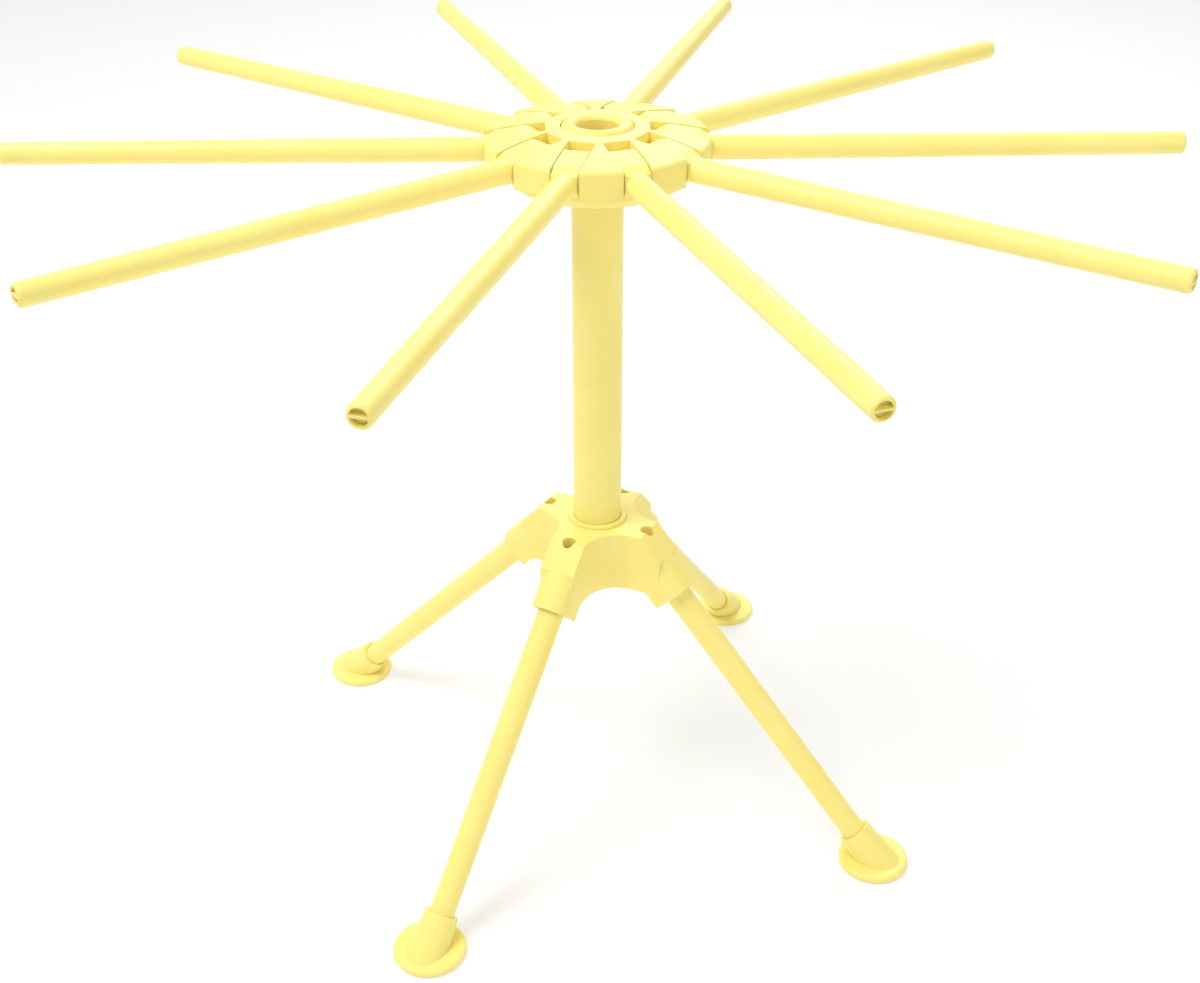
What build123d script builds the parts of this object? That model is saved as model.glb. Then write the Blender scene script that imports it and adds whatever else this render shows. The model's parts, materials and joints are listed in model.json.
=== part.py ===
from build123d import *
import math
import os

# Pasta drying rack: a slotted hub with folding arms, on a column and four folding legs.
# Millimetres. The floor is Z = 0, the column stands on the origin, the first arm lies along +X.

# Whole rack
arm_count = 10
leg_count = 4
arm_reach = 210.0
arm_axis_height = 280.0
leg_azimuth = 58.6
leg_splay = 43.1

# Clearances
seat_gap = 0.3
slide_gap = 0.1
pin_gap = 0.06
overrun = 5.0

# Hub disc
hub_radius = 40.4
hub_under = 4.8
hub_rim_over = 5.4
hub_crown_over = 8.6
rim_round = 1.5
slot_width = 10.0
slot_edge_round = 0.5

# Arms
arm_root_radius = 4.5
arm_tip_radius = 3.85
arm_tip_round = 1.2
arm_bore_radius = 2.6
arm_bore_depth = 10.0
arm_web = 0.9
arm_web_setback = 0.8
arm_pivot_circle = 26.0
knuckle_radius = 7.2
block_end_inset = 4.0
block_nose = 3.4

# Arm pins
arm_pin_radius = 1.5
arm_pin_length = 13.0

# Hub floor plate
floor_radius = 34.0
floor_edge = 2.6
floor_deep_radius = 31.0
floor_depth = 6.0
floor_boss_radius = 12.5
floor_boss_length = 11.0

# Centre ring
ring_radius = 13.0
ring_crest_over = 9.8
ring_seat_over = 4.0
ring_shoulder = 3.9
spigot_wall = 0.9
spigot_length = 4.0

# Column
column_radius = 9.5
column_wall = 2.0

# Base spider
leg_pivot_circle = 26.8
leg_pivot_height = 112.6
base_rise = 14.4
base_web_drop = 10.6
lobe_half_width = 7.5
lobe_end = 15.0
lobe_round = 5.5
flank_radius = 14.0
collar_wall = 2.4
collar_height = 1.2
socket_floor = 4.0
notch_radius = 2.6
notch_circle = 22.6

# Legs
leg_top_radius = 5.3
leg_foot_radius = 4.8
leg_end_height = 4.0

# Leg pins
leg_pin_radius = 2.0
leg_pin_length = 13.0

# Feet
pad_radius = 14.0
pad_thickness = 3.0
pad_round = 1.3
pad_inset = 2.2
boot_mouth_height = 12.0
boot_mouth_radius = 6.6
boot_floor_radius = 8.0

# Worked out from the sizes above
hub_underside = arm_axis_height - hub_under
ring_seat = arm_axis_height + ring_seat_over
column_bore = column_radius - column_wall
floor_underside = hub_underside - floor_depth
arm_width = slot_width - 2 * seat_gap
slot_start = arm_pivot_circle - knuckle_radius - seat_gap
base_top = leg_pivot_height + base_rise
base_underside = leg_pivot_height - base_web_drop
socket_bottom = base_underside + socket_floor
leg_slot_half = leg_top_radius + seat_gap
splay = math.radians(leg_splay)
leg_floor_circle = leg_pivot_circle + leg_pivot_height * math.tan(splay)
pad_circle = leg_floor_circle - pad_inset
leg_length = (leg_pivot_height - leg_end_height) / math.cos(splay)
boot_mouth = (leg_pivot_height - boot_mouth_height) / math.cos(splay)
boot_end = leg_pivot_height / math.cos(splay) + pad_radius


def turned(points):
    """Solid turned about the column's axis from a closed outline of radius and height."""
    return revolve(Plane.XZ * make_face(Polyline(*points, close=True)), Axis.Z)


def radial_prism(points, half_width):
    """Plate that stands in the radial plane, from an outline of radius and height."""
    return extrude(Plane.XZ * make_face(Polyline(*points, close=True)), half_width, both=True)


def crosswise(radius, length, circle, height):
    """Round bar across the radial direction, centred on a hinge."""
    return Pos(circle, 0, height) * Rot(90, 0, 0) * Cylinder(radius, length)


def along_leg(shape):
    """Places a shape that runs up from the origin so that it runs down a leg from its hinge."""
    return Pos(leg_pivot_circle, 0, leg_pivot_height) * Rot(0, 180 - leg_splay, 0) * shape


def leg_point(distance, offset):
    """Radius and height of a point beside a leg's axis, measured from its hinge."""
    radius = leg_pivot_circle + distance * math.sin(splay) + offset * math.cos(splay)
    height = leg_pivot_height - distance * math.cos(splay) + offset * math.sin(splay)
    return radius, height


def ringed(shape, count, first):
    """Copies of a shape at even steps round the column."""
    return [Rot(0, 0, first + 360 * index / count) * shape for index in range(count)]


def dome_height(radius):
    """Height of the hub's top above the arms' centreline at a radius."""
    share = (hub_radius - radius) / (hub_radius - ring_radius)
    return hub_rim_over + (hub_crown_over - hub_rim_over) * share


def make_hub_top():
    """Domed disc with a slot for each arm and blind seats for the arm pins."""
    recess = ring_radius + seat_gap
    bore = column_radius + slide_gap
    rim_top = arm_axis_height + hub_rim_over
    crown = arm_axis_height + hub_crown_over
    shoulder = hub_radius - rim_round
    middle = (recess + shoulder) / 2
    corner = rim_round * (1 - math.sqrt(1 / 2))
    edges = [
        Polyline((recess, crown), (recess, ring_seat), (bore, ring_seat), (bore, hub_underside),
                 (hub_radius, hub_underside), (hub_radius, rim_top - rim_round)),
        ThreePointArc((hub_radius, rim_top - rim_round),
                      (hub_radius - corner, rim_top - corner),
                      (shoulder, rim_top)),
        ThreePointArc((shoulder, rim_top),
                      (middle, arm_axis_height + dome_height(middle) + rim_round / 4),
                      (recess, crown)),
    ]
    disc = revolve(Plane.XZ * make_face(edges), Axis.Z)
    run = hub_radius - slot_start + overrun
    tall = hub_under + hub_crown_over + overrun
    slot = Pos(slot_start + run / 2, 0, arm_axis_height) * Box(run, slot_width, 2 * tall)
    seat = crosswise(arm_pin_radius + slide_gap / 2, arm_pin_length + slide_gap,
                     arm_pivot_circle, arm_axis_height)
    disc -= ringed(slot + seat, arm_count, 0)
    return disc


def make_hub_floor():
    """Plate under the slots: its ledge stops each arm level, its pockets clear the knuckles."""
    bore = column_radius + slide_gap
    plate = turned([
        (bore, hub_underside),
        (floor_radius, hub_underside),
        (floor_radius, hub_underside - floor_edge),
        (floor_deep_radius, floor_underside),
        (floor_boss_radius, floor_underside),
        (floor_boss_radius, hub_underside - floor_boss_length),
        (bore, hub_underside - floor_boss_length),
    ])
    reach = 2 * (knuckle_radius + seat_gap)
    depth = 2 * (knuckle_radius + seat_gap - hub_under)
    pocket = crosswise(knuckle_radius + seat_gap, slot_width, arm_pivot_circle, arm_axis_height)
    pocket &= Pos(arm_pivot_circle, 0, hub_underside) * Box(reach, slot_width, depth)
    plate -= ringed(pocket, arm_count, 0)
    return plate


def make_centre_ring():
    """Rounded ring that caps the column, with a spigot down inside it."""
    crest = arm_axis_height + ring_crest_over
    shoulder = ring_seat + ring_shoulder
    spigot = column_bore + spigot_wall
    edges = [
        Polyline((column_bore, shoulder), (column_bore, ring_seat - spigot_length),
                 (spigot, ring_seat - spigot_length), (spigot, ring_seat),
                 (ring_radius, ring_seat), (ring_radius, shoulder)),
        ThreePointArc((ring_radius, shoulder),
                      ((ring_radius + column_bore) / 2, crest),
                      (column_bore, shoulder)),
    ]
    return revolve(Plane.XZ * make_face(edges), Axis.Z)


def make_column():
    """Tube from the base's socket to the hub's recess."""
    step = column_bore + spigot_wall + slide_gap
    step_bottom = ring_seat - spigot_length - seat_gap
    return turned([
        (column_bore, socket_bottom),
        (column_radius, socket_bottom),
        (column_radius, ring_seat),
        (step, ring_seat),
        (step, step_bottom),
        (column_bore, step_bottom),
    ])


def make_arm():
    """Tapered arm with a flat-sided knuckle and an end recess crossed by a web."""
    length = arm_reach - arm_pivot_circle
    rod = Cone(arm_root_radius, arm_tip_radius, length, align=(Align.CENTER, Align.CENTER, Align.MIN))
    rod = Pos(arm_pivot_circle, 0, arm_axis_height) * Rot(0, 90, 0) * rod
    rod = fillet(rod.edges().filter_by(GeomType.CIRCLE).sort_by(Axis.X)[-1], arm_tip_round)
    block_end = hub_radius - block_end_inset
    block = radial_prism([
        (arm_pivot_circle, arm_axis_height - arm_root_radius),
        (hub_radius - block_end_inset / 2, arm_axis_height - arm_root_radius),
        (hub_radius, arm_axis_height - arm_root_radius / 2),
        (hub_radius, arm_axis_height + block_nose),
        (block_end, arm_axis_height + dome_height(block_end) - seat_gap),
        (arm_pivot_circle, arm_axis_height + knuckle_radius),
    ], arm_width / 2)
    arm = rod + block + crosswise(knuckle_radius, arm_width, arm_pivot_circle, arm_axis_height)
    arm -= crosswise(arm_pin_radius + pin_gap, arm_width + overrun, arm_pivot_circle, arm_axis_height)
    recess = Rot(0, 90, 0) * Cylinder(arm_bore_radius, 2 * arm_bore_depth)
    web = Pos(-arm_web_setback, 0, 0) * Box(2 * arm_bore_depth, 2 * arm_bore_radius, arm_web)
    arm -= Pos(arm_reach, 0, arm_axis_height) * (recess - web)
    return arm


def base_outline():
    """Cross of four lobes with hollow flanks between them."""
    reach = leg_point(0, lobe_half_width)[0]
    lobe = Pos(reach / 2, 0) * Rectangle(reach, 2 * lobe_half_width)
    outline = Sketch() + ringed(lobe, leg_count, 0)
    inner = outline.vertices().sort_by_distance((0, 0, 0))[:leg_count]
    return fillet(inner, flank_radius)


def make_base():
    """Moulded spider: column socket, four hooded leg sleeves and thin concave flanks."""
    top_run = (base_top - leg_point(0, lobe_half_width)[1]) / math.cos(splay)
    shoulder = leg_point(-top_run, lobe_half_width)[0]
    lip_run = lobe_end - (base_underside - leg_point(lobe_end, -lobe_half_width)[1]) / math.cos(splay)
    lobe = radial_prism([
        (0, base_top),
        (shoulder, base_top),
        leg_point(lobe_end, lobe_half_width),
        leg_point(lobe_end, -lobe_half_width),
        leg_point(lip_run, -lobe_half_width),
        (0, base_underside),
    ], lobe_half_width)
    slant = leg_point(lobe_end / 2, lobe_half_width)
    sides = lobe.edges().sort_by_distance((slant[0], lobe_half_width, slant[1]))[0]
    other = lobe.edges().sort_by_distance((slant[0], -lobe_half_width, slant[1]))[0]
    lobe = fillet([sides, other], lobe_round)
    core = extrude(Pos(0, 0, base_underside) * base_outline(), base_top - base_underside)
    beyond = radial_prism([
        (shoulder, base_top + overrun),
        (shoulder, base_top),
        leg_point(lobe_end, lobe_half_width),
        (2 * pad_circle, base_underside - overrun),
        (2 * pad_circle, base_top + overrun),
    ], pad_radius)
    core -= ringed(beyond, leg_count, 0)
    spider = core + ringed(lobe, leg_count, 0)
    collar_radius = column_radius + collar_wall
    spider += Pos(0, 0, base_top + collar_height / 2) * Cylinder(collar_radius, collar_height)
    drop = base_top - socket_bottom
    spider -= Pos(0, 0, socket_bottom + drop) * Cylinder(column_radius + slide_gap, 2 * drop)
    spider -= Pos(0, 0, base_underside) * Cylinder(column_bore, 2 * drop)
    spider -= ringed(make_leg_space(), leg_count, 0)
    return Rot(0, 0, leg_azimuth) * spider


def make_leg_space():
    """Room that one leg sweeps inside its lobe, with its pin seats and the notch above its head."""
    run = lobe_end + overrun
    bore = along_leg(Cylinder(leg_slot_half, run, align=(Align.CENTER, Align.CENTER, Align.MIN)))
    head = crosswise(leg_slot_half, 2 * leg_slot_half, leg_pivot_circle, leg_pivot_height)
    inner = leg_pivot_circle - leg_slot_half
    low = leg_point(run, -lobe_half_width)[1] - overrun
    sweep = radial_prism([
        (leg_pivot_circle, leg_pivot_height),
        leg_point(run, 0),
        (leg_point(run, 0)[0], low),
        (inner, low),
        (inner, leg_pivot_height),
    ], leg_slot_half)
    seat = crosswise(leg_pin_radius + slide_gap / 2, leg_pin_length + slide_gap,
                     leg_pivot_circle, leg_pivot_height)
    notch_depth = base_top - leg_pivot_height
    notch = Pos(notch_circle, 0, leg_pivot_height + notch_depth / 2 + overrun / 2)
    notch = notch * Cylinder(notch_radius, notch_depth + overrun)
    return bore + head + sweep + seat + notch


def make_leg():
    """Tapered round leg with a ball head on its hinge pin."""
    rod = Cone(leg_top_radius, leg_foot_radius, leg_length,
               align=(Align.CENTER, Align.CENTER, Align.MIN))
    leg = along_leg(rod + Sphere(leg_top_radius))
    leg -= crosswise(leg_pin_radius + pin_gap, 2 * leg_slot_half, leg_pivot_circle, leg_pivot_height)
    return leg


def make_foot():
    """Round flat pad with a boot that slants up round the end of the leg."""
    pad = Cylinder(pad_radius, pad_thickness, align=(Align.CENTER, Align.CENTER, Align.MIN))
    pad = Pos(pad_circle, 0, 0) * pad
    pad = fillet(pad.edges().filter_by(GeomType.CIRCLE), pad_round)
    slope = (boot_floor_radius - boot_mouth_radius) / (boot_end - pad_radius - boot_mouth)
    end_radius = boot_mouth_radius + slope * (boot_end - boot_mouth)
    boot = Cone(boot_mouth_radius, end_radius, boot_end - boot_mouth,
                align=(Align.CENTER, Align.CENTER, Align.MIN))
    boot = along_leg(Pos(0, 0, boot_mouth) * boot)
    above = Pos(pad_circle, 0, pad_thickness / 2) * Cylinder(
        pad_radius - pad_round, 2 * pad_radius, align=(Align.CENTER, Align.CENTER, Align.MIN))
    inside = Pos(pad_circle, 0, pad_thickness / 2) * Box(
        4 * pad_radius, 2 * pad_radius, 2 * pad_radius, align=(Align.MAX, Align.CENTER, Align.MIN))
    foot = pad + (boot & (above + inside))
    socket = Cone(leg_top_radius + slide_gap, leg_foot_radius + slide_gap, leg_length + slide_gap,
                  align=(Align.CENTER, Align.CENTER, Align.MIN))
    return foot - along_leg(socket)


def export_ring(shape, name, count, first):
    """Writes one numbered file for each copy round the column."""
    for index, copy in enumerate(ringed(shape, count, first)):
        export_step(copy, f"parts/{name}_{index + 1:02d}.step")


def main():
    os.makedirs("parts", exist_ok=True)
    export_step(make_hub_top(), "parts/hub_top.step")
    export_step(make_hub_floor(), "parts/hub_floor.step")
    export_step(make_centre_ring(), "parts/centre_ring.step")
    export_step(make_column(), "parts/column.step")
    export_step(make_base(), "parts/base_spider.step")
    arm_pin = crosswise(arm_pin_radius, arm_pin_length, arm_pivot_circle, arm_axis_height)
    leg_pin = crosswise(leg_pin_radius, leg_pin_length, leg_pivot_circle, leg_pivot_height)
    export_ring(make_arm(), "arm", arm_count, 0)
    export_ring(arm_pin, "arm_pin", arm_count, 0)
    export_ring(make_leg(), "leg", leg_count, leg_azimuth)
    export_ring(leg_pin, "leg_pin", leg_count, leg_azimuth)
    export_ring(make_foot(), "foot", leg_count, leg_azimuth)


main()
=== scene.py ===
import json
import math

import bmesh
import bpy
from mathutils import Matrix, Vector


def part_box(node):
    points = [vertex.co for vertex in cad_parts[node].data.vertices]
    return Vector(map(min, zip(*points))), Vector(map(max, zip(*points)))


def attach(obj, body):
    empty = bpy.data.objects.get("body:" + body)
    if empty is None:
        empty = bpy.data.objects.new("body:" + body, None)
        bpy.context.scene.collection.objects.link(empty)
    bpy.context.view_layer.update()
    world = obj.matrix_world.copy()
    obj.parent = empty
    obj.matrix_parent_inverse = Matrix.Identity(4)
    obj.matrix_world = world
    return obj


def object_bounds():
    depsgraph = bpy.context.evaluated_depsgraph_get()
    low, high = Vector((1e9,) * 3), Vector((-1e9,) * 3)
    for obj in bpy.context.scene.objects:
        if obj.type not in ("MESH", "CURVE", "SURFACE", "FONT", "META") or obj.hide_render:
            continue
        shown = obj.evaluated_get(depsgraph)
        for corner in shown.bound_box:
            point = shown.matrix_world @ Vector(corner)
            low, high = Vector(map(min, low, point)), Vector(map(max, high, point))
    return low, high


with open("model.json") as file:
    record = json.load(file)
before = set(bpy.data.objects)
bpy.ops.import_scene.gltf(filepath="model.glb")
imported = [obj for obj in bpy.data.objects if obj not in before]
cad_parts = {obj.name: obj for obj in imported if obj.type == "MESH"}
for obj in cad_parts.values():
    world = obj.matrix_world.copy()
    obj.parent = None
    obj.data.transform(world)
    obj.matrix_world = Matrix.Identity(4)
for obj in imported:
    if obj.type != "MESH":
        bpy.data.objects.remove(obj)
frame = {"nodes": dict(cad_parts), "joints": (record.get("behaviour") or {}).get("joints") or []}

CAD_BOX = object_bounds()

# Camera, in metres and degrees, worked out from the spread of the arm tips in the photograph
SENSOR_WIDTH = 36.0
IMAGE_WIDTH = 1200.0
FOCAL_PIXELS = 1581.3
CAMERA_DISTANCE = 0.56062
CAMERA_SIDE = 0.00101
CAMERA_LIFT = -0.12173
CAMERA_ELEVATION = 30.96
CAMERA_ROLL = 0.08
PHOTO_TURN = -1.88
ARM_HEIGHT = 0.280

# Plastic colours, as display values from 0 to 1
PLASTIC_PALE = (0.992, 0.925, 0.545)
PLASTIC_DEEP = (0.988, 0.912, 0.515)
FLOOR_WHITE = (0.96, 0.96, 0.96)
STUDIO_WHITE = (1.0, 0.995, 0.985)

# Plastic surface: noise scales per metre, heights in metres, and shares from 0 to 1
CLOUD_SCALE = 38.0
CLOUD_RANGE = (0.35, 0.65)
GLOSS_SCALE = 120.0
GLOSS_SPREAD = (-0.05, 0.07)
GRAIN_SCALE = 2600.0
GRAIN_HEIGHT = 0.00008
FLOW_SCALE = 160.0
FLOW_HEIGHT = 0.0004
FLOW_STRENGTH = 0.12
DEPTH_WEIGHT = 0.25
DEPTH_COLOUR = (1.0, 0.75, 0.25)
DEPTH_REACH = 0.003
PLASTIC_IOR = 1.49
BODY_ROUGHNESS = 0.40
BODY_GRAIN = 0.10
PIN_ROUGHNESS = 0.32
PIN_GRAIN = 0.05

# Studio: lamps as name, place, size and power
FLOOR_HALF = 4.0
FLOOR_ROUGHNESS = 0.9
FLOOR_GLOW_SHARE = 0.45
WORLD_STRENGTH = 0.55
LAMPS = (
    ("key", (-0.7, -0.2, 1.5), 0.7, 15.0),
    ("fill", (0.9, -0.9, 0.9), 1.0, 3.5),
    ("back", (0.3, 1.2, 1.1), 0.8, 6.5),
)

# Softness of the moulded edges, and the shallow dish that closes each arm's end recess
EDGE_SOFTNESS = 0.0006
EDGE_SAMPLES = 6
DISH_RADIUS = 0.00255
DISH_DEPTH = 0.0016
DISH_HOLLOW = 0.0005
DISH_THICKNESS = 0.0030
DISH_LIP = 0.0002
DISH_SIDES = 40
MERGE_DISTANCE = 1e-6


def linear(colour):
    """Turns display values into the linear values that a shader takes."""
    values = [c / 12.92 if c <= 0.04045 else ((c + 0.055) / 1.055) ** 2.4 for c in colour]
    return (*values, 1.0)


def new_material(name):
    """Empty node material with its output and Principled shader."""
    material = bpy.data.materials.new(name)
    material.use_nodes = True
    nodes = material.node_tree.nodes
    return material, nodes, material.node_tree.links, nodes["Principled BSDF"]


def noise(nodes, links, place, scale, detail):
    """Noise texture in object coordinates."""
    texture = nodes.new("ShaderNodeTexNoise")
    texture.inputs["Scale"].default_value = scale
    texture.inputs["Detail"].default_value = detail
    links.new(place.outputs["Object"], texture.inputs["Vector"])
    return texture


def moulded_plastic(name, pale, deep, gloss, grain):
    """Satin moulded plastic: faint flow clouding, fine mould grain and uneven gloss."""
    material, nodes, links, shader = new_material(name)
    place = nodes.new("ShaderNodeTexCoord")
    clouds = noise(nodes, links, place, CLOUD_SCALE, 3.0)
    blend = nodes.new("ShaderNodeValToRGB")
    blend.color_ramp.elements[0].position = CLOUD_RANGE[0]
    blend.color_ramp.elements[0].color = linear(deep)
    blend.color_ramp.elements[1].position = CLOUD_RANGE[1]
    blend.color_ramp.elements[1].color = linear(pale)
    links.new(clouds.outputs["Fac"], blend.inputs["Fac"])
    links.new(blend.outputs["Color"], shader.inputs["Base Color"])
    patches = noise(nodes, links, place, GLOSS_SCALE, 4.0)
    sheen_range = nodes.new("ShaderNodeMapRange")
    sheen_range.inputs["To Min"].default_value = gloss + GLOSS_SPREAD[0]
    sheen_range.inputs["To Max"].default_value = gloss + GLOSS_SPREAD[1]
    links.new(patches.outputs["Fac"], sheen_range.inputs["Value"])
    links.new(sheen_range.outputs["Result"], shader.inputs["Roughness"])
    edges = nodes.new("ShaderNodeBevel")
    edges.samples = EDGE_SAMPLES
    edges.inputs["Radius"].default_value = EDGE_SOFTNESS
    fine = noise(nodes, links, place, GRAIN_SCALE, 2.0)
    broad = noise(nodes, links, place, FLOW_SCALE, 2.0)
    mould = nodes.new("ShaderNodeBump")
    mould.inputs["Strength"].default_value = grain
    mould.inputs["Distance"].default_value = GRAIN_HEIGHT
    links.new(fine.outputs["Fac"], mould.inputs["Height"])
    links.new(edges.outputs["Normal"], mould.inputs["Normal"])
    flow = nodes.new("ShaderNodeBump")
    flow.inputs["Strength"].default_value = FLOW_STRENGTH
    flow.inputs["Distance"].default_value = FLOW_HEIGHT
    links.new(broad.outputs["Fac"], flow.inputs["Height"])
    links.new(mould.outputs["Normal"], flow.inputs["Normal"])
    links.new(flow.outputs["Normal"], shader.inputs["Normal"])
    shader.inputs["Subsurface Weight"].default_value = DEPTH_WEIGHT
    shader.inputs["Subsurface Radius"].default_value = DEPTH_COLOUR
    shader.inputs["Subsurface Scale"].default_value = DEPTH_REACH
    shader.inputs["IOR"].default_value = PLASTIC_IOR
    return material


def studio_floor():
    """Pale floor, brightened for the camera alone, that keeps the object's shadow."""
    material, nodes, links, shader = new_material("studio_floor")
    shader.inputs["Base Color"].default_value = (*FLOOR_WHITE, 1.0)
    shader.inputs["Roughness"].default_value = FLOOR_ROUGHNESS
    shader.inputs["Specular IOR Level"].default_value = 0.0
    glow = nodes.new("ShaderNodeEmission")
    path = nodes.new("ShaderNodeLightPath")
    share = nodes.new("ShaderNodeMath")
    share.operation = "MULTIPLY"
    share.inputs[1].default_value = FLOOR_GLOW_SHARE
    mix = nodes.new("ShaderNodeMixShader")
    links.new(path.outputs["Is Camera Ray"], share.inputs[0])
    links.new(share.outputs["Value"], mix.inputs["Fac"])
    links.new(shader.outputs["BSDF"], mix.inputs[1])
    links.new(glow.outputs["Emission"], mix.inputs[2])
    links.new(mix.outputs["Shader"], nodes["Material Output"].inputs["Surface"])
    return material


def make_floor():
    """Square floor that fills the photograph's view behind the object."""
    half = FLOOR_HALF
    corners = [(-half, -half, 0), (half, -half, 0), (half, half, 0), (-half, half, 0)]
    mesh = bpy.data.meshes.new("floor")
    mesh.from_pydata(corners, [], [(0, 1, 2, 3)])
    floor = bpy.data.objects.new("floor", mesh)
    floor.data.materials.append(studio_floor())
    bpy.context.scene.collection.objects.link(floor)


def make_world():
    """Even, nearly white studio light from all sides."""
    world = bpy.data.worlds.new("studio")
    world.use_nodes = True
    background = world.node_tree.nodes["Background"]
    background.inputs["Color"].default_value = (*STUDIO_WHITE, 1.0)
    background.inputs["Strength"].default_value = WORLD_STRENGTH
    bpy.context.scene.world = world


def make_lamp(name, position, size, power):
    """Soft square lamp that points at the rack's middle."""
    data = bpy.data.lights.new(name, "AREA")
    data.size = size
    data.energy = power
    lamp = bpy.data.objects.new(name, data)
    lamp.location = position
    aim = Vector((0, 0, CAD_BOX[1][2] / 2)) - Vector(position)
    lamp.rotation_euler = aim.to_track_quat("-Z", "Y").to_euler()
    bpy.context.scene.collection.objects.link(lamp)


def make_camera():
    """Camera at the photograph's viewing angle."""
    tilt = math.radians(CAMERA_ELEVATION)
    right = Vector((1, 0, 0))
    up = Vector((0, math.sin(tilt), math.cos(tilt)))
    back = Vector((0, -math.cos(tilt), math.sin(tilt)))
    place = right * CAMERA_SIDE + up * CAMERA_LIFT + back * CAMERA_DISTANCE
    data = bpy.data.cameras.new("camera")
    data.sensor_fit = "HORIZONTAL"
    data.sensor_width = SENSOR_WIDTH
    data.lens = SENSOR_WIDTH * FOCAL_PIXELS / IMAGE_WIDTH
    camera = bpy.data.objects.new("camera", data)
    turn = Matrix.Rotation(math.radians(PHOTO_TURN), 4, "Z")
    lean = Matrix.Rotation(math.pi / 2 - tilt, 4, "X")
    roll = Matrix.Rotation(math.radians(CAMERA_ROLL), 4, "Z")
    shift = Matrix.Translation(place)
    lift = Matrix.Translation((0, 0, ARM_HEIGHT))
    camera.matrix_world = lift @ turn @ shift @ lean @ roll
    bpy.context.scene.collection.objects.link(camera)
    bpy.context.scene.camera = camera


def make_dish(name, body, angle, reach, finish):
    """Hollow round dish set back in the recess of one arm's end."""
    rings = [
        (0.0, DISH_HOLLOW),
        (DISH_RADIUS * 0.5, DISH_HOLLOW * 0.75),
        (DISH_RADIUS * 0.86, DISH_LIP),
        (DISH_RADIUS, 0.0),
        (DISH_RADIUS, DISH_THICKNESS),
        (0.0, DISH_THICKNESS),
    ]
    mesh = bpy.data.meshes.new(name)
    shape = bmesh.new()
    outline = [shape.verts.new((reach - DISH_DEPTH - depth, radius, 0.0)) for radius, depth in rings]
    lines = [shape.edges.new(pair) for pair in zip(outline, outline[1:])]
    bmesh.ops.spin(shape, geom=outline + lines, cent=(0, 0, 0), axis=(1, 0, 0),
                   angle=math.tau, steps=DISH_SIDES, use_merge=True)
    bmesh.ops.remove_doubles(shape, verts=shape.verts, dist=MERGE_DISTANCE)
    bmesh.ops.recalc_face_normals(shape, faces=shape.faces)
    shape.transform(Matrix.Translation((0, 0, ARM_HEIGHT)))
    shape.transform(Matrix.Rotation(angle, 4, "Z"))
    shape.to_mesh(mesh)
    shape.free()
    mesh.polygons.foreach_set("use_smooth", [True] * len(mesh.polygons))
    mesh.materials.append(finish)
    dish = bpy.data.objects.new(name, mesh)
    bpy.context.scene.collection.objects.link(dish)
    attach(dish, body)


def make_dishes(finish):
    """A dish in the end of every arm, each on its arm's own body."""
    arms = [joint for joint in frame["joints"] if joint["name"].startswith("arm")]
    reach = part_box("arm_01")[1][0]
    for joint in arms:
        angle = math.atan2(joint["pos_m"][1], joint["pos_m"][0])
        make_dish(joint["name"].replace("fold", "end_dish"), joint["child"], angle, reach, finish)


def dress_nodes():
    """Gives every CAD node its plastic, and closes the arms' end recesses."""
    body = moulded_plastic("yellow_plastic", PLASTIC_PALE, PLASTIC_DEEP,
                           BODY_ROUGHNESS, BODY_GRAIN)
    pins = moulded_plastic("pin_plastic", PLASTIC_PALE, PLASTIC_DEEP,
                           PIN_ROUGHNESS, PIN_GRAIN)
    for name, node in frame["nodes"].items():
        finish = pins if "_pin_" in name else body
        node.data.materials.clear()
        node.data.materials.append(finish)
    make_dishes(body)


bpy.context.scene.view_settings.view_transform = "Standard"
make_camera()
make_world()
make_floor()
for lamp_facts in LAMPS:
    make_lamp(*lamp_facts)
dress_nodes()
